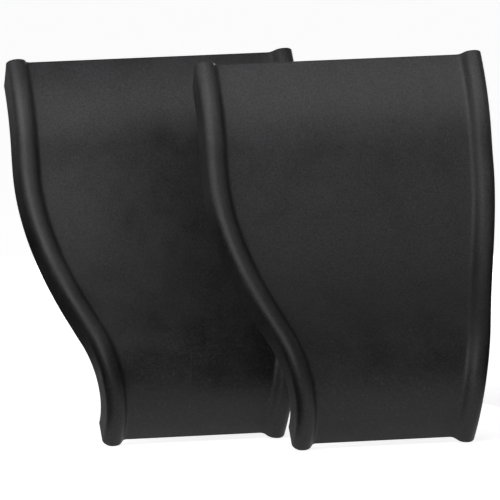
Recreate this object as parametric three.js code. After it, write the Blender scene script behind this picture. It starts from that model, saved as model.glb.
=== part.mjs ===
// A pair of curved guard plates for a truck or trailer wheel, one standing behind the other.
// Each plate is one moulding in black polyethylene: an S-curved sheet that narrows towards its foot,
// with a hollow bead and a turned-back skirt along each side.
// Millimetres, +Z up. A plate's front faces -Y, and it is symmetrical about its own middle plane.
import * as THREE from "three";

// Widths, over the beads
const TOP_WIDTH = 610;
const FOOT_WIDTH = 388;
const TAPER_START = 225; // down the sheet from the top edge; the taper ends where the foot begins
const WALL = 5;

// Side profile, from the top edge down. A lean is how far the sheet runs forward as it goes down.
const TOP_LEAN = 29;
const BACK_LEAN = 6;
const SWEEP_LEAN = 40;
const FOOT_LEAN = -38;
const LIP_LENGTH = 180;
const BACK_LENGTH = 344;
const SWEEP_LENGTH = 56;
const BEND_LENGTH = 230;
const FOOT_LENGTH = 16;

// Side bead and skirt
const BEAD_RISE = 34; // from the flat sheet across to the crest
const BEAD_ROUND = 18; // radius of the outer shoulder, from the crest to the skirt
const BEAD_HEIGHT = 18;
const FLAT_PULL = 0.6; // share of the rise over which the curve holds to the flat sheet
const CREST_PULL = 0.55; // share of the rise over which it holds to the crest
const SKIRT_DEPTH = 35; // behind the front of the sheet
const TOP_CUTBACK = 36; // how far each skirt corner is cut back from the top edge
const FOOT_CUTBACK = 18;

// How the second plate stands from the first
const REAR_SHIFT_LEFT = 286;
const REAR_SHIFT_BACK = 320;

// Facets
const RISE_STEPS = 6;
const ROUND_STEPS = 5;
const SHEET_STEPS = 2;

const STRETCHES = [
  { length: LIP_LENGTH, from: TOP_LEAN, to: BACK_LEAN, steps: 4 },
  { length: BACK_LENGTH, from: BACK_LEAN, to: SWEEP_LEAN, steps: 7 },
  { length: SWEEP_LENGTH, from: SWEEP_LEAN, to: SWEEP_LEAN, steps: 2 },
  { length: BEND_LENGTH, from: SWEEP_LEAN, to: FOOT_LEAN, steps: 10 },
  { length: FOOT_LENGTH, from: FOOT_LEAN, to: FOOT_LEAN, steps: 1 },
];
const SHEET_LENGTH = STRETCHES.reduce((sum, stretch) => sum + stretch.length, 0);

// Overall width at a distance down the sheet: full at the top, then an easy curve in to the foot.
function widthAt(down) {
  const taperEnd = SHEET_LENGTH - FOOT_LENGTH;
  const share = THREE.MathUtils.smoothstep(down, TAPER_START, taperEnd);
  return THREE.MathUtils.lerp(TOP_WIDTH, FOOT_WIDTH, share);
}

// The side profile at a distance down the sheet: how far forward its front is, how high, and its lean.
// Each stretch is an arc, or a straight where its lean stays the same.
function profileAt(down) {
  let [left, forward, height] = [down, 0, 0];
  for (const { length, from, to } of STRETCHES) {
    const arc = Math.min(left, length);
    const start = THREE.MathUtils.degToRad(from);
    const turn = (THREE.MathUtils.degToRad(to - from) * arc) / length;
    const chord = turn ? (arc * Math.sin(turn / 2)) / (turn / 2) : arc;
    forward += chord * Math.sin(start + turn / 2);
    height -= chord * Math.cos(start + turn / 2);
    left -= arc;
    if (left <= 0) return { forward, height, lean: start + turn };
  }
  return { forward, height, lean: THREE.MathUtils.degToRad(FOOT_LEAN) };
}

// Distances down the sheet of the plate's rows of corners.
function rowDistances() {
  const rows = [0];
  for (const { length, steps } of STRETCHES) {
    const start = rows.at(-1);
    for (let i = 1; i <= steps; i++) rows.push(start + (length * i) / steps);
  }
  return rows;
}

// The bead and skirt in section: x is outwards from the flat sheet, y is towards the front.
function beadSection() {
  const rise = new THREE.CubicBezierCurve(
    new THREE.Vector2(0, 0),
    new THREE.Vector2(BEAD_RISE * FLAT_PULL, 0),
    new THREE.Vector2(BEAD_RISE * (1 - CREST_PULL), BEAD_HEIGHT),
    new THREE.Vector2(BEAD_RISE, BEAD_HEIGHT),
  );
  const shoulder = new THREE.EllipseCurve(
    BEAD_RISE, BEAD_HEIGHT - BEAD_ROUND, BEAD_ROUND, BEAD_ROUND, Math.PI / 2, 0, true,
  );
  const skirtEdge = new THREE.Vector2(BEAD_RISE + BEAD_ROUND, -SKIRT_DEPTH);
  const outer = [...rise.getPoints(RISE_STEPS), ...shoulder.getPoints(ROUND_STEPS).slice(1), skirtEdge];
  return outer.map((point, i) => ({ front: point, back: offsetBehind(outer, i) }));
}

// The point one wall behind a section's corner, on the line that halves the corner.
function offsetBehind(points, i) {
  const flat = new THREE.Vector2(1, 0);
  const alongIn = i > 0 ? points[i].clone().sub(points[i - 1]).normalize() : flat;
  const alongOut = i < points.length - 1 ? points[i + 1].clone().sub(points[i]).normalize() : alongIn;
  const along = alongIn.clone().add(alongOut).normalize();
  const miter = along.dot(alongOut);
  return new THREE.Vector2(along.y, -along.x).multiplyScalar(WALL / miter).add(points[i]);
}

// One section across the plate, left skirt to right skirt, as corners on the front and on the back.
function crossSection(width) {
  const bead = beadSection();
  const flatHalf = width / 2 - BEAD_RISE - BEAD_ROUND;
  const side = (sign) =>
    bead.map(({ front, back }) => ({
      front: new THREE.Vector2(sign * (flatHalf + front.x), front.y),
      back: new THREE.Vector2(sign * (flatHalf + back.x), back.y),
    }));
  const flat = Array.from({ length: SHEET_STEPS - 1 }, (_, i) => {
    const x = THREE.MathUtils.lerp(-flatHalf, flatHalf, (i + 1) / SHEET_STEPS);
    return { front: new THREE.Vector2(x, 0), back: new THREE.Vector2(x, -WALL) };
  });
  return [...side(-1).reverse(), ...flat, ...side(1)];
}

// A skirt's edge is shorter than the sheet: this spreads its corners between the two cut-backs.
function skirtDistance(down) {
  const start = TOP_CUTBACK;
  return start + (down * (SHEET_LENGTH - start - FOOT_CUTBACK)) / SHEET_LENGTH;
}

// Where a corner of a section lies on the plate, at a distance down the sheet.
function placeCorner({ x, y }, down) {
  const { forward, height, lean } = profileAt(down);
  return [x, -(forward + y * Math.cos(lean)), height + y * Math.sin(lean)];
}

// All corners at one row: along the front from left to right, then back along the rear face.
function plateRow(down) {
  const sheet = crossSection(widthAt(down));
  const edge = crossSection(widthAt(skirtDistance(down)));
  const last = sheet.length - 1;
  const corner = (k, face) => {
    if (k === 0 || k === last) return placeCorner(edge[k][face], skirtDistance(down));
    return placeCorner(sheet[k][face], down);
  };
  const fronts = sheet.map((_, k) => corner(k, "front"));
  const backs = sheet.map((_, k) => corner(k, "back"));
  return [...fronts, ...backs.reverse()];
}

// A closed skin round the plate: front and back surfaces, the two skirt edges and the two cut ends.
function plateGeometry() {
  const rings = rowDistances().map(plateRow);
  const around = rings[0].length;
  const indices = [];
  for (let r = 0; r < rings.length - 1; r++) {
    for (let k = 0; k < around; k++) {
      const next = (k + 1) % around;
      const [a, b] = [r * around + k, r * around + next];
      indices.push(a, a + around, b, b, a + around, b + around);
    }
  }
  const lastRing = (rings.length - 1) * around;
  for (let k = 0; k < around / 2 - 1; k++) {
    const mirror = around - 1 - k;
    indices.push(k, k + 1, mirror, k + 1, mirror - 1, mirror);
    indices.push(lastRing + k, lastRing + mirror, lastRing + k + 1);
    indices.push(lastRing + k + 1, lastRing + mirror, lastRing + mirror - 1);
  }
  const geometry = new THREE.BufferGeometry();
  geometry.setAttribute("position", new THREE.Float32BufferAttribute(rings.flat(2), 3));
  geometry.setIndex(indices);
  geometry.computeVertexNormals();
  return geometry;
}

function plate(name) {
  const material = new THREE.MeshStandardMaterial({ color: 0x1b1b1c, roughness: 0.45, metalness: 0 });
  const mesh = new THREE.Mesh(plateGeometry(), material);
  mesh.name = name;
  return mesh;
}

// Both plates, with the middle of their common base at the origin.
function platePair() {
  const pair = new THREE.Group();
  const rear = plate("rear_plate");
  rear.position.set(-REAR_SHIFT_LEFT, REAR_SHIFT_BACK, 0);
  pair.add(plate("front_plate"), rear);
  const box = new THREE.Box3().setFromObject(pair);
  const middle = box.getCenter(new THREE.Vector3());
  pair.position.set(-middle.x, -middle.y, -box.min.z);
  return pair;
}

export default platePair();
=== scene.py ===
"""Pair of curved black polyethylene wheel guard plates, dressed and lit on a plain floor.

Each plate is one moulding: an S-curved sheet that narrows towards its foot, with a hollow bead and a
turned-back skirt down each side. Everything is in metres, +Z up, and the plates' fronts face -Y.
"""

import logging
import math
from dataclasses import dataclass, field
from enum import Enum
from typing import Any, ClassVar

import bpy
from mathutils import Matrix, Vector

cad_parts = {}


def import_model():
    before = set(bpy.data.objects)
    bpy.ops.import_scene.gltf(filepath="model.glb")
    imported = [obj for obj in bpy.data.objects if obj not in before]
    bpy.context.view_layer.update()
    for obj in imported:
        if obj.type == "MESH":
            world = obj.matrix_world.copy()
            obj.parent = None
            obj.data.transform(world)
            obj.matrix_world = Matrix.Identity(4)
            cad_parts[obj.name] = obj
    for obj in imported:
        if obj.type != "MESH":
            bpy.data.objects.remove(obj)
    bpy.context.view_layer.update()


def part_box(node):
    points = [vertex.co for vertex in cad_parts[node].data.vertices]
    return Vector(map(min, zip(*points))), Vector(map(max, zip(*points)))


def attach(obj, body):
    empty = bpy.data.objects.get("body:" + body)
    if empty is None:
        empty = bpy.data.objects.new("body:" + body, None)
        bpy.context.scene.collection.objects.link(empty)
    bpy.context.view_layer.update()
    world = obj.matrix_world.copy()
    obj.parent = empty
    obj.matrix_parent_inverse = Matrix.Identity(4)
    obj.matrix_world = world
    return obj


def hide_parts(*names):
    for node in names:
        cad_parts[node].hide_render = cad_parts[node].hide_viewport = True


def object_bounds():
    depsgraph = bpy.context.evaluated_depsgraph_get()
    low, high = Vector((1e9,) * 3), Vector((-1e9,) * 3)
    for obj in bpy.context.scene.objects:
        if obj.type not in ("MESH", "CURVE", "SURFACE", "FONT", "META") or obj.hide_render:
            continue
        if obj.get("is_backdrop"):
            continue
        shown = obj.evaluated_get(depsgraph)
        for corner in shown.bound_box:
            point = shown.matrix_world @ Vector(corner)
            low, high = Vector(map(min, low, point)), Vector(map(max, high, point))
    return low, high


LOG = logging.getLogger("guard_plates")
NOISE_ROUGHNESS = 0.6  # how much of its strength each finer layer of a noise keeps


class PlateNode(Enum):
    """The two mouldings, by the name of the solid that each one stands for."""

    FRONT = "front_plate"
    REAR = "rear_plate"


def linear_colour(hex_code: str) -> tuple[float, float, float, float]:
    """Turn an sRGB hex colour into linear light.

    Args:
        hex_code: Six hex digits, such as "1c1c1d".

    Returns:
        Red, green, blue and alpha, linear, with alpha 1.
    """
    channels = [int(hex_code[i : i + 2], 16) / 255 for i in (0, 2, 4)]
    red, green, blue = (c / 12.92 if c <= 0.04045 else ((c + 0.055) / 1.055) ** 2.4 for c in channels)
    return red, green, blue, 1.0


def add_node(
    tree: bpy.types.NodeTree,
    kind: str,
    inputs: dict[str | int, Any] | None = None,
    **settings: Any,
) -> bpy.types.Node:
    """Add one node with its settings, values and links.

    Args:
        tree: The node tree that takes it.
        kind: The node's type name.
        inputs: For each input, by name or number, a value or the output socket that feeds it.
        **settings: Properties of the node itself.

    Returns:
        The new node.
    """
    node = tree.nodes.new(kind)
    for name, value in settings.items():
        setattr(node, name, value)
    for key, value in (inputs or {}).items():
        if isinstance(value, bpy.types.NodeSocket):
            tree.links.new(value, node.inputs[key])
        else:
            node.inputs[key].default_value = value
    return node


# --------------------------------------------------------------------------------------------------
# Finishes


def blank_material(name: str) -> bpy.types.Material:
    """Make a material whose node tree is empty.

    Args:
        name: The material's name.

    Returns:
        The material, which has no shader yet.
    """
    material = bpy.data.materials.new(name)
    material.use_nodes = True
    material.node_tree.nodes.clear()
    return material


@dataclass(frozen=True)
class MouldedPolyethylene:
    """Black polyethylene, moulded warm against a finely blasted mould.

    The eye gets a waxy, satin black: a soft sheen with no sharp reflection, a fine mottled grain, faint
    clouds and waves where the sheet cooled at different rates, and a sparse rubbed speckle low down.

    Attributes:
        name: The material's name.
        colour: Its main colour.
        mottle_colour: The paler side of its mottle.
        rubbed_colour: Its colour where it is rubbed.
        ior: Refractive index of polyethylene.
        specular_level: Strength of its reflection; under 0.5, because the grain swallows some of it.
        roughness_low: Roughness where a cloud is glossiest.
        roughness_high: Roughness where it is dullest.
        rubbed_dulling: Roughness that rubbing adds.
        grain_mm: Size of the grain.
        grain_depth_mm: Depth of the grain.
        grain_strength: How much of that depth the light shows.
        cloud_mm: Size of a cloud, and of the waves that go with it.
        cloud_depth_mm: Depth of the waves.
        cloud_share: Part that the clouds play in the mottle, beside the grain's 1.
        mottle_low: Sum of clouds and grain at which the mottle starts to pale.
        mottle_high: Sum at which it is palest.
        speckle_mm: Size of a rubbed speckle.
        rubbed_low: Height up to which the rubbing is full.
        rubbed_high: Height from which it is faint.
    """

    name: str = "moulded_black_polyethylene"
    colour: str = "080809"
    mottle_colour: str = "262628"
    rubbed_colour: str = "343437"
    ior: float = 1.51
    specular_level: float = 0.3
    roughness_low: float = 0.44
    roughness_high: float = 0.58
    rubbed_dulling: float = 0.12
    grain_mm: float = 3.2  # a blasted mould's real grain is near 0.3 mm; drawn coarser so that it shows
    grain_depth_mm: float = 0.6
    grain_strength: float = 0.7
    cloud_mm: float = 90.0
    cloud_depth_mm: float = 2.0
    cloud_share: float = 0.45
    mottle_low: float = 0.50
    mottle_high: float = 0.95
    speckle_mm: float = 7.0
    rubbed_low: float = 0.05
    rubbed_high: float = 0.35

    def material(self) -> bpy.types.Material:
        """Build the material's nodes.

        Returns:
            The finished material.
        """
        material = blank_material(self.name)
        tree = material.node_tree
        where = add_node(tree, "ShaderNodeTexCoord").outputs["Object"]
        clouds = add_node(
            tree,
            "ShaderNodeTexNoise",
            {
                "Vector": where,
                "Scale": 1000 / self.cloud_mm,
                "Detail": 2.0,
                "Roughness": NOISE_ROUGHNESS,
            },
        ).outputs["Fac"]
        grain = add_node(
            tree,
            "ShaderNodeTexNoise",
            {
                "Vector": where,
                "Scale": 1000 / self.grain_mm,
                "Detail": 2.0,
                "Roughness": NOISE_ROUGHNESS,
            },
        ).outputs["Fac"]
        worn = self._worn(tree, where)
        shader = add_node(
            tree,
            "ShaderNodeBsdfPrincipled",
            {
                "Base Color": self._tint(tree, clouds, grain, worn),
                "Roughness": self._dullness(tree, clouds, worn),
                "IOR": self.ior,
                "Specular IOR Level": self.specular_level,
                "Normal": self._relief(tree, clouds, grain),
            },
        )
        add_node(tree, "ShaderNodeOutputMaterial", {"Surface": shader.outputs["BSDF"]})
        return material

    def _worn(self, tree: bpy.types.NodeTree, where: bpy.types.NodeSocket) -> bpy.types.NodeSocket:
        """Find where the surface is rubbed, in speckles that thin out upwards.

        Args:
            tree: The material's tree.
            where: The place on the object, in metres.

        Returns:
            How worn it is, from 0 to 1.
        """
        noise = add_node(
            tree,
            "ShaderNodeTexNoise",
            {
                "Vector": where,
                "Scale": 1000 / self.speckle_mm,
                "Detail": 4.0,
                "Roughness": NOISE_ROUGHNESS,
            },
        )
        speckle = add_node(
            tree,
            "ShaderNodeMapRange",
            {"Value": noise.outputs["Fac"], "From Min": 0.55, "From Max": 0.75},
        )
        height = add_node(tree, "ShaderNodeSeparateXYZ", {"Vector": where}).outputs["Z"]
        low_down = add_node(
            tree,
            "ShaderNodeMapRange",
            {
                "Value": height,
                "From Min": self.rubbed_low,
                "From Max": self.rubbed_high,
                "To Min": 0.9,
                "To Max": 0.15,
            },
            interpolation_type="SMOOTHSTEP",
        )
        worn = add_node(
            tree,
            "ShaderNodeMath",
            {0: speckle.outputs["Result"], 1: low_down.outputs["Result"]},
            operation="MULTIPLY",
        )
        return worn.outputs["Value"]

    def _tint(
        self,
        tree: bpy.types.NodeTree,
        clouds: bpy.types.NodeSocket,
        grain: bpy.types.NodeSocket,
        worn: bpy.types.NodeSocket,
    ) -> bpy.types.NodeSocket:
        """Mottle the black with the clouds and the grain, and pale it where it is rubbed.

        Args:
            tree: The material's tree.
            clouds: The clouds, from 0 to 1.
            grain: The grain, from 0 to 1.
            worn: How worn the surface is, from 0 to 1.

        Returns:
            The colour.
        """
        both = add_node(
            tree, "ShaderNodeMath", {0: clouds, 1: self.cloud_share, 2: grain}, operation="MULTIPLY_ADD"
        )
        mottle = add_node(
            tree,
            "ShaderNodeMapRange",
            {
                "Value": both.outputs["Value"],
                "From Min": self.mottle_low,
                "From Max": self.mottle_high,
            },
        )
        mottled = add_node(
            tree,
            "ShaderNodeMix",
            {
                "Factor": mottle.outputs["Result"],
                "A": linear_colour(self.colour),
                "B": linear_colour(self.mottle_colour),
            },
            data_type="RGBA",
        )
        rubbed = add_node(
            tree,
            "ShaderNodeMix",
            {"Factor": worn, "A": mottled.outputs["Result"], "B": linear_colour(self.rubbed_colour)},
            data_type="RGBA",
        )
        return rubbed.outputs["Result"]

    def _dullness(
        self, tree: bpy.types.NodeTree, clouds: bpy.types.NodeSocket, worn: bpy.types.NodeSocket
    ) -> bpy.types.NodeSocket:
        """Let the sheen come and go with the clouds, and dull it where it is rubbed.

        Args:
            tree: The material's tree.
            clouds: The clouds, from 0 to 1.
            worn: How worn the surface is, from 0 to 1.

        Returns:
            The roughness.
        """
        sheen = add_node(
            tree,
            "ShaderNodeMapRange",
            {
                "Value": clouds,
                "From Min": 0.3,
                "From Max": 0.7,
                "To Min": self.roughness_low,
                "To Max": self.roughness_high,
            },
        )
        dulled = add_node(
            tree,
            "ShaderNodeMath",
            {0: worn, 1: self.rubbed_dulling, 2: sheen.outputs["Result"]},
            operation="MULTIPLY_ADD",
        )
        return dulled.outputs["Value"]

    def _relief(
        self, tree: bpy.types.NodeTree, clouds: bpy.types.NodeSocket, grain: bpy.types.NodeSocket
    ) -> bpy.types.NodeSocket:
        """Lay the grain over the shallow waves.

        Args:
            tree: The material's tree.
            clouds: The clouds, from 0 to 1.
            grain: The grain, from 0 to 1.

        Returns:
            The direction that the surface faces.
        """
        waves = add_node(
            tree,
            "ShaderNodeBump",
            {"Height": clouds, "Strength": 1.0, "Distance": self.cloud_depth_mm / 1000},
        )
        grained = add_node(
            tree,
            "ShaderNodeBump",
            {
                "Height": grain,
                "Strength": self.grain_strength,
                "Distance": self.grain_depth_mm / 1000,
                "Normal": waves.outputs["Normal"],
            },
        )
        return grained.outputs["Normal"]


@dataclass(frozen=True)
class TrimmedPolyethylene:
    """The same black polyethylene where a router has trimmed it to size.

    The eye gets a paler, drier black than the moulded face's, with fine cutter marks, so the outline
    shows as a thin light line.

    Attributes:
        name: The material's name.
        colour: Its darker colour.
        pale_colour: Its colour where the cutter has torn it a little.
        ior: Refractive index of polyethylene.
        roughness: Its roughness.
        mark_mm: Spacing of the cutter marks.
        mark_depth_mm: Depth of the cutter marks.
    """

    name: str = "trimmed_black_polyethylene"
    colour: str = "1c1c1d"
    pale_colour: str = "38383a"
    ior: float = 1.51
    roughness: float = 0.6
    mark_mm: float = 2.5
    mark_depth_mm: float = 0.5

    def material(self) -> bpy.types.Material:
        """Build the material's nodes.

        Returns:
            The finished material.
        """
        material = blank_material(self.name)
        tree = material.node_tree
        where = add_node(tree, "ShaderNodeTexCoord").outputs["Object"]
        marks = add_node(
            tree,
            "ShaderNodeTexNoise",
            {
                "Vector": where,
                "Scale": 1000 / self.mark_mm,
                "Detail": 2.0,
                "Roughness": NOISE_ROUGHNESS,
            },
        ).outputs["Fac"]
        colour = add_node(
            tree,
            "ShaderNodeMix",
            {"Factor": marks, "A": linear_colour(self.colour), "B": linear_colour(self.pale_colour)},
            data_type="RGBA",
        )
        relief = add_node(
            tree,
            "ShaderNodeBump",
            {"Height": marks, "Strength": 0.5, "Distance": self.mark_depth_mm / 1000},
        )
        shader = add_node(
            tree,
            "ShaderNodeBsdfPrincipled",
            {
                "Base Color": colour.outputs["Result"],
                "Roughness": self.roughness,
                "IOR": self.ior,
                "Normal": relief.outputs["Normal"],
            },
        )
        add_node(tree, "ShaderNodeOutputMaterial", {"Surface": shader.outputs["BSDF"]})
        return material


# --------------------------------------------------------------------------------------------------
# The plates


@dataclass(frozen=True)
class Stretch:
    """One run of the side profile, an arc or a straight.

    Attributes:
        length: Length down the sheet.
        lean_from: Lean at its upper end, in degrees; a lean is how far the sheet runs forward going down.
        lean_to: Lean at its lower end, in degrees.
    """

    length: float
    lean_from: float
    lean_to: float


@dataclass(frozen=True)
class SideProfile:
    """The S-curve of the sheet's front, from the top edge down to the foot.

    Attributes:
        stretches: Its runs: lip, long hollow, straight, bend and foot.
    """

    stretches: tuple[Stretch, ...] = (
        Stretch(0.180, 29.0, 6.0),
        Stretch(0.344, 6.0, 40.0),
        Stretch(0.056, 40.0, 40.0),
        Stretch(0.230, 40.0, -38.0),
        Stretch(0.016, -38.0, -38.0),
    )

    @property
    def length(self) -> float:
        """Length of the whole sheet along its surface."""
        return sum(stretch.length for stretch in self.stretches)

    def points(self, spacing: float) -> list[Vector]:
        """Places along the profile in the YZ plane.

        Args:
            spacing: Longest distance between two places.

        Returns:
            The places, starting with the top edge at the origin.
        """
        places = [Vector((0.0, 0.0, 0.0))]
        for stretch in self.stretches:
            steps = math.ceil(stretch.length / spacing)
            arc = stretch.length / steps
            turn = math.radians(stretch.lean_to - stretch.lean_from) / steps
            chord = arc * math.sin(turn / 2) / (turn / 2) if turn else arc
            lean = math.radians(stretch.lean_from)
            for _ in range(steps):
                heading = lean + turn / 2
                places.append(places[-1] + chord * Vector((0.0, -math.sin(heading), -math.cos(heading))))
                lean += turn
        return places


@dataclass(frozen=True)
class EdgeSection:
    """The bead and skirt in section: x outwards from the flat sheet, y towards the front.

    Attributes:
        rise: From the flat sheet across to the crest.
        shoulder_radius: Radius from the crest to the skirt.
        height: Height of the crest.
        flat_pull: Share of the rise over which the curve holds to the flat sheet.
        crest_pull: Share of the rise over which it holds to the crest.
        skirt_depth: Depth of the skirt behind the front of the sheet.
    """

    rise: float = 0.034
    shoulder_radius: float = 0.018
    height: float = 0.018
    flat_pull: float = 0.45
    crest_pull: float = 0.75
    skirt_depth: float = 0.035

    @property
    def width(self) -> float:
        """Width of the bead from the flat sheet to the skirt's face."""
        return self.rise + self.shoulder_radius

    def points(self, steps: int) -> list[Vector]:
        """Places along the section, from the flat sheet to the skirt's edge.

        Args:
            steps: Number of places along the rise, and along the shoulder.

        Returns:
            The places, in the XY plane.
        """
        controls = (
            Vector((0.0, 0.0, 0.0)),
            Vector((self.rise * self.flat_pull, 0.0, 0.0)),
            Vector((self.rise * (1 - self.crest_pull), self.height, 0.0)),
            Vector((self.rise, self.height, 0.0)),
        )
        places = []
        for i in range(steps + 1):
            t = i / steps
            weights = ((1 - t) ** 3, 3 * t * (1 - t) ** 2, 3 * t**2 * (1 - t), t**3)
            places.append(sum((w * c for w, c in zip(weights, controls)), Vector((0.0, 0.0, 0.0))))
        centre = Vector((self.rise, self.height - self.shoulder_radius, 0.0))
        for i in range(1, steps + 1):
            angle = math.pi / 2 * (1 - i / steps)
            places.append(centre + self.shoulder_radius * Vector((math.cos(angle), math.sin(angle), 0.0)))
        skirt_steps = steps // 2
        top = places[-1]
        edge = Vector((self.width, -self.skirt_depth, 0.0))
        places.extend(top.lerp(edge, i / skirt_steps) for i in range(1, skirt_steps + 1))
        return places


def guide_curve(name: str, places: list[Vector]) -> bpy.types.Object:
    """Make a plain curve through some places.

    Args:
        name: The curve's name.
        places: The places, in order.

    Returns:
        A curve object with one straight-sided spline.
    """
    curve = bpy.data.curves.new(name, "CURVE")
    curve.dimensions = "3D"
    spline = curve.splines.new("POLY")
    spline.points.add(len(places) - 1)
    for point, place in zip(spline.points, places):
        point.co = (*place, 1.0)
    guide = bpy.data.objects.new(name, curve)
    bpy.context.scene.collection.objects.link(guide)
    return guide


@dataclass
class PlateSkin:
    """A node tree that lays a sheet over a side profile and gives it a bead and skirt on each side.

    Attributes:
        INPUTS: The tree's inputs, with the type of each.
        flat_share: Share of the grid's half width that lies on the flat sheet.
        tree: The tree, once it is built.
    """

    flat_share: float = 0.22
    tree: bpy.types.NodeTree = field(init=False)

    INPUTS: ClassVar[dict[str, str]] = {
        "Side Profile": "NodeSocketObject",
        "Edge Section": "NodeSocketObject",
        "Finish": "NodeSocketMaterial",
        "Columns": "NodeSocketInt",
        "Rows": "NodeSocketInt",
        "Sheet Length": "NodeSocketFloat",
        "Top Width": "NodeSocketFloat",
        "Foot Width": "NodeSocketFloat",
        "Taper Start": "NodeSocketFloat",
        "Taper End": "NodeSocketFloat",
        "Edge Width": "NodeSocketFloat",
        "Skirt Depth": "NodeSocketFloat",
        "Top Cutback": "NodeSocketFloat",
        "Foot Cutback": "NodeSocketFloat",
    }

    def __post_init__(self) -> None:
        """Build the tree."""
        self.tree = bpy.data.node_groups.new("Guard Plate Skin", "GeometryNodeTree")
        face = self.tree.interface
        face.new_socket("Geometry", in_out="OUTPUT", socket_type="NodeSocketGeometry")
        for name, kind in self.INPUTS.items():
            face.new_socket(name, in_out="INPUT", socket_type=kind)
        self._wire()

    def _wire(self) -> None:
        """Lay a flat grid on the two guide curves, row by row and column by column."""
        tree = self.tree
        given = add_node(tree, "NodeGroupInput").outputs
        grid = add_node(
            tree,
            "GeometryNodeMeshGrid",
            {"Size X": 2.0, "Size Y": 1.0, "Vertices X": given["Columns"], "Vertices Y": given["Rows"]},
        )
        place = add_node(tree, "GeometryNodeInputPosition").outputs["Position"]
        axes = add_node(tree, "ShaderNodeSeparateXYZ", {"Vector": place}).outputs
        side = add_node(tree, "ShaderNodeMath", {0: axes["X"]}, operation="SIGN")
        across = add_node(tree, "ShaderNodeMath", {0: axes["X"]}, operation="ABSOLUTE")
        share_down = add_node(tree, "ShaderNodeMath", {0: 0.5, 1: axes["Y"]}, operation="SUBTRACT")
        on_flat = add_node(
            tree,
            "ShaderNodeMapRange",
            {"Value": across.outputs["Value"], "From Max": self.flat_share},
        )
        on_edge = add_node(
            tree,
            "ShaderNodeMapRange",
            {"Value": across.outputs["Value"], "From Min": self.flat_share},
        )

        # The place in the edge section; on the flat sheet this stays at its inner end.
        section = add_node(tree, "GeometryNodeObjectInfo", {"Object": given["Edge Section"]})
        edge = add_node(
            tree,
            "GeometryNodeSampleCurve",
            {"Curves": section.outputs["Geometry"], "Factor": on_edge.outputs["Result"]},
            mode="FACTOR",
        )
        offset = add_node(tree, "ShaderNodeSeparateXYZ", {"Vector": edge.outputs["Position"]}).outputs

        # The place on the side profile and the direction out of its front.
        along = self._along(given, share_down.outputs["Value"], offset["Y"])
        profile = add_node(tree, "GeometryNodeObjectInfo", {"Object": given["Side Profile"]})
        spine = add_node(
            tree,
            "GeometryNodeSampleCurve",
            {"Curves": profile.outputs["Geometry"], "Length": along},
            mode="LENGTH",
        )
        outwards = add_node(
            tree,
            "ShaderNodeVectorMath",
            {0: spine.outputs["Tangent"], 1: (1.0, 0.0, 0.0)},
            operation="CROSS_PRODUCT",
        )
        front = add_node(
            tree,
            "ShaderNodeVectorMath",
            {0: outwards.outputs["Vector"], "Scale": offset["Y"]},
            operation="SCALE",
        )

        # The place across the sheet, on the flat or out on the bead.
        reach = add_node(
            tree,
            "ShaderNodeMath",
            {0: self._half_flat(given, along), 1: on_flat.outputs["Result"], 2: offset["X"]},
            operation="MULTIPLY_ADD",
        )
        signed_reach = add_node(
            tree,
            "ShaderNodeMath",
            {0: side.outputs["Value"], 1: reach.outputs["Value"]},
            operation="MULTIPLY",
        )
        sideways = add_node(tree, "ShaderNodeCombineXYZ", {"X": signed_reach.outputs["Value"]})
        on_spine = add_node(
            tree,
            "ShaderNodeVectorMath",
            {0: spine.outputs["Position"], 1: front.outputs["Vector"]},
            operation="ADD",
        )
        final = add_node(
            tree,
            "ShaderNodeVectorMath",
            {0: on_spine.outputs["Vector"], 1: sideways.outputs["Vector"]},
            operation="ADD",
        )
        moved = add_node(
            tree,
            "GeometryNodeSetPosition",
            {"Geometry": grid.outputs["Mesh"], "Position": final.outputs["Vector"]},
        )
        smooth = add_node(tree, "GeometryNodeSetShadeSmooth", {"Geometry": moved.outputs["Geometry"]})
        real = add_node(tree, "GeometryNodeRealizeInstances", {"Geometry": smooth.outputs["Geometry"]})
        dressed = add_node(
            tree,
            "GeometryNodeSetMaterial",
            {"Geometry": real.outputs["Geometry"], "Material": given["Finish"]},
        )
        add_node(tree, "NodeGroupOutput", {"Geometry": dressed.outputs["Geometry"]})

    def _along(
        self,
        given: bpy.types.NodeOutputs,
        share_down: bpy.types.NodeSocket,
        height: bpy.types.NodeSocket,
    ) -> bpy.types.NodeSocket:
        """Find the distance down the sheet, with the skirt corners cut back towards their edge.

        Args:
            given: The tree's inputs.
            share_down: Share of the way down, from 0 to 1.
            height: Height in the edge section, negative on the skirt.

        Returns:
            The distance down the side profile.
        """
        tree = self.tree
        depth = add_node(tree, "ShaderNodeMath", {0: height, 1: -1.0}, operation="MULTIPLY")
        depth_share = add_node(
            tree,
            "ShaderNodeMapRange",
            {"Value": depth.outputs["Value"], "From Max": given["Skirt Depth"]},
        ).outputs["Result"]
        top_cut = add_node(
            tree, "ShaderNodeMath", {0: given["Top Cutback"], 1: depth_share}, operation="MULTIPLY"
        )
        both_cuts = add_node(
            tree,
            "ShaderNodeMath",
            {0: given["Foot Cutback"], 1: depth_share, 2: top_cut.outputs["Value"]},
            operation="MULTIPLY_ADD",
        )
        shorter = add_node(
            tree,
            "ShaderNodeMath",
            {0: given["Sheet Length"], 1: both_cuts.outputs["Value"]},
            operation="SUBTRACT",
        )
        along = add_node(
            tree,
            "ShaderNodeMath",
            {0: share_down, 1: shorter.outputs["Value"], 2: top_cut.outputs["Value"]},
            operation="MULTIPLY_ADD",
        )
        return along.outputs["Value"]

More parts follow.
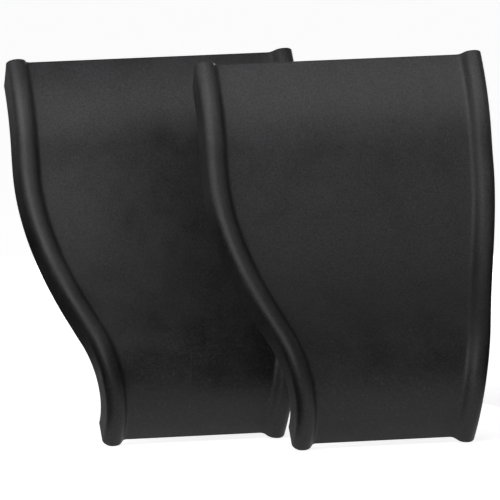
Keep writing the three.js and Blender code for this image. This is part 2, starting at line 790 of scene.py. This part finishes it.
    def _half_flat(
        self, given: bpy.types.NodeOutputs, along: bpy.types.NodeSocket
    ) -> bpy.types.NodeSocket:
        """Find half the flat sheet's width: full at the top, then an easy curve in to the foot.

        Args:
            given: The tree's inputs.
            along: Distance down the side profile.

        Returns:
            Half the width between the beads.
        """
        width = add_node(
            self.tree,
            "ShaderNodeMapRange",
            {
                "Value": along,
                "From Min": given["Taper Start"],
                "From Max": given["Taper End"],
                "To Min": given["Top Width"],
                "To Max": given["Foot Width"],
            },
            interpolation_type="SMOOTHSTEP",
        )
        half = add_node(
            self.tree, "ShaderNodeMath", {0: width.outputs["Result"], 1: 0.5}, operation="MULTIPLY"
        )
        flat = add_node(
            self.tree,
            "ShaderNodeMath",
            {0: half.outputs["Value"], 1: given["Edge Width"]},
            operation="SUBTRACT",
        )
        return flat.outputs["Value"]

    def socket(self, name: str) -> str:
        """Find the identifier that a modifier knows an input by.

        Args:
            name: The input's name.

        Returns:
            Its identifier.
        """
        for item in self.tree.interface.items_tree:
            if item.name == name and item.in_out == "INPUT":
                return item.identifier
        raise KeyError(name)

    def apply(self, name: str, values: dict[str, Any]) -> bpy.types.Mesh:
        """Run the tree once and keep its result as a plain mesh.

        Args:
            name: Name of the new mesh.
            values: A value for each named input.

        Returns:
            The mesh, with no wall thickness yet.
        """
        carrier = bpy.data.objects.new(name, bpy.data.meshes.new(name))
        bpy.context.scene.collection.objects.link(carrier)
        modifier = carrier.modifiers.new("skin", "NODES")
        modifier.node_group = self.tree
        for key, value in values.items():
            modifier[self.socket(key)] = value
        graph = bpy.context.evaluated_depsgraph_get()
        mesh = bpy.data.meshes.new_from_object(carrier.evaluated_get(graph))
        bpy.data.objects.remove(carrier)
        return mesh


@dataclass
class GuardPlate:
    """One moulded plate.

    Attributes:
        node: Which of the two mouldings it is.
        profile: The sheet's side profile.
        edge: The bead and skirt in section.
        foot_width: Width over the beads at the foot; the top width is the solid's own.
        taper_start: Distance down the sheet where it starts to narrow.
        wall: Wall thickness.
        top_cutback: How far each skirt corner is cut back from the top edge.
        foot_cutback: The same at the foot.
        edge_break: Size of the small bevel on the cut edges.
        edge_break_steps: Facets of that bevel.
        sharp_deg: Turn from which an edge counts as a cut edge.
        profile_spacing: Longest distance between two corners of the side profile's guide.
        section_steps: Corners along the rise, and along the shoulder, of the edge section's guide.
        rows: Rows of corners down the sheet.
        columns: Columns of corners across it.
    """

    node: PlateNode
    profile: SideProfile = field(default_factory=SideProfile)
    edge: EdgeSection = field(default_factory=EdgeSection)
    foot_width: float = 0.388
    taper_start: float = 0.225
    wall: float = 0.005
    top_cutback: float = 0.036
    foot_cutback: float = 0.018
    edge_break: float = 0.0015
    edge_break_steps: int = 3
    sharp_deg: float = 60.0
    profile_spacing: float = 0.003
    section_steps: int = 24
    rows: int = 221
    columns: int = 101

    def build(
        self, skin: PlateSkin, moulded: bpy.types.Material, trimmed: bpy.types.Material
    ) -> bpy.types.Object:
        """Make the plate where its solid stands.

        Args:
            skin: The tree that shapes the sheet.
            moulded: The material of its faces.
            trimmed: The material of its trimmed edges.

        Returns:
            The finished piece, riding on the root body in place of its solid.
        """
        low, high = (Vector(corner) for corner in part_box(self.node.value))
        spine = guide_curve("side_profile", self.profile.points(self.profile_spacing))
        section = guide_curve("edge_section", self.edge.points(self.section_steps))
        mesh = skin.apply(
            f"{self.node.value}_moulding",
            {
                "Side Profile": spine,
                "Edge Section": section,
                "Finish": moulded,
                "Columns": self.columns,
                "Rows": self.rows,
                "Sheet Length": self.profile.length,
                "Top Width": high.x - low.x,
                "Foot Width": self.foot_width,
                "Taper Start": self.taper_start,
                "Taper End": self.profile.length - self.profile.stretches[-1].length,
                "Edge Width": self.edge.width,
                "Skirt Depth": self.edge.skirt_depth,
                "Top Cutback": self.top_cutback,
                "Foot Cutback": self.foot_cutback,
            },
        )
        for guide in (spine, section):
            bpy.data.objects.remove(guide)
        mesh.materials.append(trimmed)
        piece = bpy.data.objects.new(mesh.name, self._walled(mesh))
        bpy.context.scene.collection.objects.link(piece)
        self._seat(piece.data, low, high)
        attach(piece, "root")
        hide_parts(self.node.value)
        return piece

    def _walled(self, skin_mesh: bpy.types.Mesh) -> bpy.types.Mesh:
        """Give the skin its wall, behind the front surface, and break its cut edges.

        Args:
            skin_mesh: The front surface, whose second material is for the cut edges.

        Returns:
            The closed plate.
        """
        shell = bpy.data.objects.new("shell", skin_mesh)
        bpy.context.scene.collection.objects.link(shell)
        wall = shell.modifiers.new("wall", "SOLIDIFY")
        wall.thickness = self.wall
        wall.offset = -1.0
        wall.use_even_offset = True
        wall.use_quality_normals = True
        wall.material_offset_rim = 1
        bevel = shell.modifiers.new("edge_break", "BEVEL")
        bevel.width = self.edge_break
        bevel.segments = self.edge_break_steps
        bevel.limit_method = "ANGLE"
        bevel.angle_limit = math.radians(self.sharp_deg)
        graph = bpy.context.evaluated_depsgraph_get()
        closed = bpy.data.meshes.new_from_object(shell.evaluated_get(graph))
        bpy.data.objects.remove(shell)
        return closed

    @staticmethod
    def _seat(mesh: bpy.types.Mesh, low: Vector, high: Vector) -> None:
        """Move a mesh so that the middle of its box is where the solid's is.

        Args:
            mesh: The mesh to move.
            low: The solid's lowest corner.
            high: The solid's highest corner.
        """
        corners = [vertex.co for vertex in mesh.vertices]
        own_low = Vector(min(c[i] for c in corners) for i in range(3))
        own_high = Vector(max(c[i] for c in corners) for i in range(3))
        shift = (low + high) / 2 - (own_low + own_high) / 2
        mesh.transform(Matrix.Translation(shift))
        mesh.update()


# --------------------------------------------------------------------------------------------------
# The studio


@dataclass(frozen=True)
class SoftBox:
    """A rectangular lamp.

    Attributes:
        name: What it is for.
        place: Where it stands.
        aim: What it points at.
        width: Its width.
        height: Its height.
        watts: Its power.
        spread_deg: How wide its beam is.
    """

    name: str
    place: tuple[float, float, float]
    aim: tuple[float, float, float]
    width: float
    height: float
    watts: float
    spread_deg: float = 180.0

    def build(self) -> bpy.types.Object:
        """Set the lamp up.

        Returns:
            The lamp.
        """
        lamp = bpy.data.lights.new(self.name, "AREA")
        lamp.shape = "RECTANGLE"
        lamp.size = self.width
        lamp.size_y = self.height
        lamp.energy = self.watts
        lamp.spread = math.radians(self.spread_deg)
        stand = bpy.data.objects.new(self.name, lamp)
        stand.location = self.place
        direction = Vector(self.aim) - Vector(self.place)
        stand.rotation_euler = direction.to_track_quat("-Z", "Y").to_euler()
        stand.visible_camera = False
        bpy.context.scene.collection.objects.link(stand)
        return stand


def stage_sheet(
    name: str, corners: list[tuple[float, float, float]], material: bpy.types.Material
) -> bpy.types.Object:
    """Put up one flat four-cornered thing that is not part of the object.

    Args:
        name: Its name.
        corners: Its four corners, in order.
        material: Its material.

    Returns:
        The new object.
    """
    mesh = bpy.data.meshes.new(name)
    mesh.from_pydata(corners, [], [(0, 1, 2, 3)])
    mesh.materials.append(material)
    sheet = bpy.data.objects.new(name, mesh)
    bpy.context.scene.collection.objects.link(sheet)
    sheet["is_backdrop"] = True
    return sheet


@dataclass(frozen=True)
class Flag:
    """A dark felt sheet that leans away from the plates and shows only in their reflections.

    Attributes:
        name: What it is for.
        foot: How far right its lower edge lies.
        head: How far right its upper edge lies.
        front: How far back its front end is.
        back: How far back its back end is.
        height: Its height.
    """

    name: str
    foot: float
    head: float
    front: float
    back: float
    height: float

    def build(self, felt: bpy.types.Material) -> bpy.types.Object:
        """Stand the flag on the floor.

        Args:
            felt: Its material.

        Returns:
            The flag, which neither the camera nor a shadow shows.
        """
        corners = [
            (self.foot, self.front, 0.0),
            (self.foot, self.back, 0.0),
            (self.head, self.back, self.height),
            (self.head, self.front, self.height),
        ]
        flag = stage_sheet(self.name, corners, felt)
        flag.visible_camera = False
        flag.visible_shadow = False
        return flag


@dataclass
class Studio:
    """Floor, flags, surround, lamps and camera.

    Attributes:
        floor_half: Half the floor's side.
        floor_grey: How much light the floor paint returns.
        floor_glow: What the floor adds to its own light where it is seen as the background.
        felt_colour: Colour of the flags.
        side_flag_height: Height of the long flags beside the pair.
        foot_flag_height: Height of the short flags to the left of each foot.
        room_strength: Strength of the soft light from all round.
        strip_watts: Power of the strip lamp in front of each plate's top edge.
        strip_spread_deg: How wide the strip lamps' beams are.
        distance: How far back the camera stands; far, so that the pair is seen almost square on.
        lens_mm: Its focal length.
        sensor_mm: Width of its sensor.
        yaw_deg: How far it stands round to the plates' left.
        pitch_deg: How far it looks down.
        roll_deg: How far it leans.
        aim_right: How far right of the pair's middle it aims.
        aim_up: How far above it.
    """

    floor_half: float = 100.0
    floor_grey: float = 0.8
    floor_glow: float = 0.74
    felt_colour: str = "303030"
    side_flag_height: float = 0.55
    foot_flag_height: float = 0.35
    room_strength: float = 0.28
    strip_watts: dict[PlateNode, float] = field(
        default_factory=lambda: {PlateNode.FRONT: 2.0, PlateNode.REAR: 1.0}
    )
    strip_spread_deg: float = 100.0
    distance: float = 40.0
    lens_mm: float = 1440.0
    sensor_mm: float = 36.0
    yaw_deg: float = 20.0
    pitch_deg: float = 4.0
    roll_deg: float = 1.17
    aim_right: float = -0.039
    aim_up: float = -0.0015

    def build(self) -> None:
        """Set up the whole studio."""
        self._floor()
        self._flags()
        self._surround()
        self._lamps()
        self._camera()
        bpy.context.scene.view_settings.view_transform = "Standard"

    def _floor(self) -> None:
        """Lay a pale floor that reads as white and keeps the plates' shadow."""
        material = blank_material("matt_white_floor_paint")
        tree = material.node_tree
        rays = add_node(tree, "ShaderNodeLightPath").outputs
        seen = add_node(
            tree,
            "ShaderNodeMath",
            {0: rays["Is Camera Ray"], 1: rays["Is Glossy Ray"]},
            operation="MAXIMUM",
        )
        seen_or_through = add_node(
            tree,
            "ShaderNodeMath",
            {0: seen.outputs["Value"], 1: rays["Is Transmission Ray"]},
            operation="MAXIMUM",
        )
        lift = add_node(
            tree,
            "ShaderNodeMath",
            {0: seen_or_through.outputs["Value"], 1: self.floor_glow},
            operation="MULTIPLY",
        )
        shader = add_node(
            tree,
            "ShaderNodeBsdfPrincipled",
            {
                "Base Color": (self.floor_grey, self.floor_grey, self.floor_grey, 1.0),
                "Roughness": 1.0,
                "Specular IOR Level": 0.0,
                "Emission Color": (1.0, 1.0, 1.0, 1.0),
                "Emission Strength": lift.outputs["Value"],
            },
        )
        add_node(tree, "ShaderNodeOutputMaterial", {"Surface": shader.outputs["BSDF"]})
        half = self.floor_half
        corners = [(-half, -half, 0.0), (half, -half, 0.0), (half, half, 0.0), (-half, half, 0.0)]
        stage_sheet("floor", corners, material)

    def _flags(self) -> None:
        """Stand dark flags beside the pair and by each foot, so that the plates' sides fall off to dark."""
        felt = blank_material("dark_grey_felt")
        cloth = add_node(
            felt.node_tree, "ShaderNodeBsdfDiffuse", {"Color": linear_colour(self.felt_colour)}
        )
        add_node(felt.node_tree, "ShaderNodeOutputMaterial", {"Surface": cloth.outputs["BSDF"]})
        for node in PlateNode:
            low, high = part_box(node.value)
            middle = (low[0] + high[0]) / 2
            Flag(
                name=f"{node.value}_foot_flag",
                foot=middle - 0.25,
                head=middle - 0.50,
                front=low[1] - 0.35,
                back=low[1] + 0.12,
                height=self.foot_flag_height,
            ).build(felt)
        low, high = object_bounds()
        Flag(
            name="left_flag",
            foot=low[0] - 0.08,
            head=low[0] - 0.50,
            front=high[1] - 0.45,
            back=high[1] + 3.0,
            height=self.side_flag_height,
        ).build(felt)
        Flag(
            name="right_flag",
            foot=high[0] + 0.25,
            head=high[0] + 0.50,
            front=low[1] - 0.80,
            back=high[1] + 3.0,
            height=self.side_flag_height,
        ).build(felt)

    def _surround(self) -> None:
        """Light everything softly from all round."""
        world = bpy.data.worlds.new("soft_room")
        world.use_nodes = True
        bpy.context.scene.world = world
        tree = world.node_tree
        tree.nodes.clear()
        soft = add_node(
            tree,
            "ShaderNodeBackground",
            {"Color": (1.0, 1.0, 1.0, 1.0), "Strength": self.room_strength},
        )
        add_node(tree, "ShaderNodeOutputWorld", {"Surface": soft.outputs["Background"]})

    def _lamps(self) -> None:
        """Hang strip lamps by the top edges and stand large soft boxes front left and back right."""
        for node in PlateNode:
            low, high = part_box(node.value)
            across = (low[0] + high[0]) / 2 - 0.10
            SoftBox(
                name=f"{node.value}_strip",
                place=(across, high[1] - 0.46, high[2] + 0.16),
                aim=(across, high[1] - 0.02, high[2] - 0.06),
                width=2.2,
                height=0.20,
                watts=self.strip_watts[node],
                spread_deg=self.strip_spread_deg,
            ).build()
        low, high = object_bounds()
        SoftBox(
            name="left_strip",
            place=(low[0] - 0.50, low[1] + 0.10, high[2] + 0.12),
            aim=(low[0] + 0.20, high[1] - 0.30, high[2] - 0.14),
            width=0.8,
            height=0.30,
            watts=1.2,
            spread_deg=self.strip_spread_deg,
        ).build()
        SoftBox(
            name="front_left_soft_box",
            place=(-3.2, -4.2, 2.9),
            aim=(0.0, 0.0, 0.4),
            width=4.0,
            height=3.0,
            watts=150.0,
        ).build()
        SoftBox(
            name="back_right_soft_box",
            place=(2.4, 4.6, 1.1),
            aim=(0.0, 0.0, 0.5),
            width=4.0,
            height=1.6,
            watts=80.0,
        ).build()

    def _camera(self) -> None:
        """Stand the camera at its angle, far back with a long lens."""
        yaw, pitch, roll = (math.radians(a) for a in (self.yaw_deg, self.pitch_deg, self.roll_deg))
        view = Vector(
            (math.sin(yaw) * math.cos(pitch), math.cos(yaw) * math.cos(pitch), -math.sin(pitch))
        )
        level = Vector((math.cos(yaw), -math.sin(yaw), 0.0))
        upright = level.cross(view)
        right = level * math.cos(roll) - upright * math.sin(roll)
        up = upright * math.cos(roll) + level * math.sin(roll)
        low, high = (Vector(corner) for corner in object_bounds())
        aim = (low + high) / 2 + right * self.aim_right + up * self.aim_up
        turn = Matrix((right, up, -view)).transposed().to_4x4()
        lens = bpy.data.cameras.new("camera")
        lens.sensor_width = self.sensor_mm
        lens.lens = self.lens_mm
        lens.clip_end = 3 * self.floor_half
        camera = bpy.data.objects.new("camera", lens)
        camera.matrix_world = Matrix.Translation(aim - view * self.distance) @ turn
        bpy.context.scene.collection.objects.link(camera)
        bpy.context.scene.camera = camera


def main() -> None:
    """Build the pair and the studio."""
    logging.basicConfig(level=logging.INFO, format="%(name)s: %(message)s")
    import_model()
    Studio().build()
    moulded = MouldedPolyethylene().material()
    trimmed = TrimmedPolyethylene().material()
    skin = PlateSkin()
    for node in PlateNode:
        piece = GuardPlate(node).build(skin, moulded, trimmed)
        LOG.info("%s: %d faces", piece.name, len(piece.data.polygons))


if __name__ == "__main__":
    main()
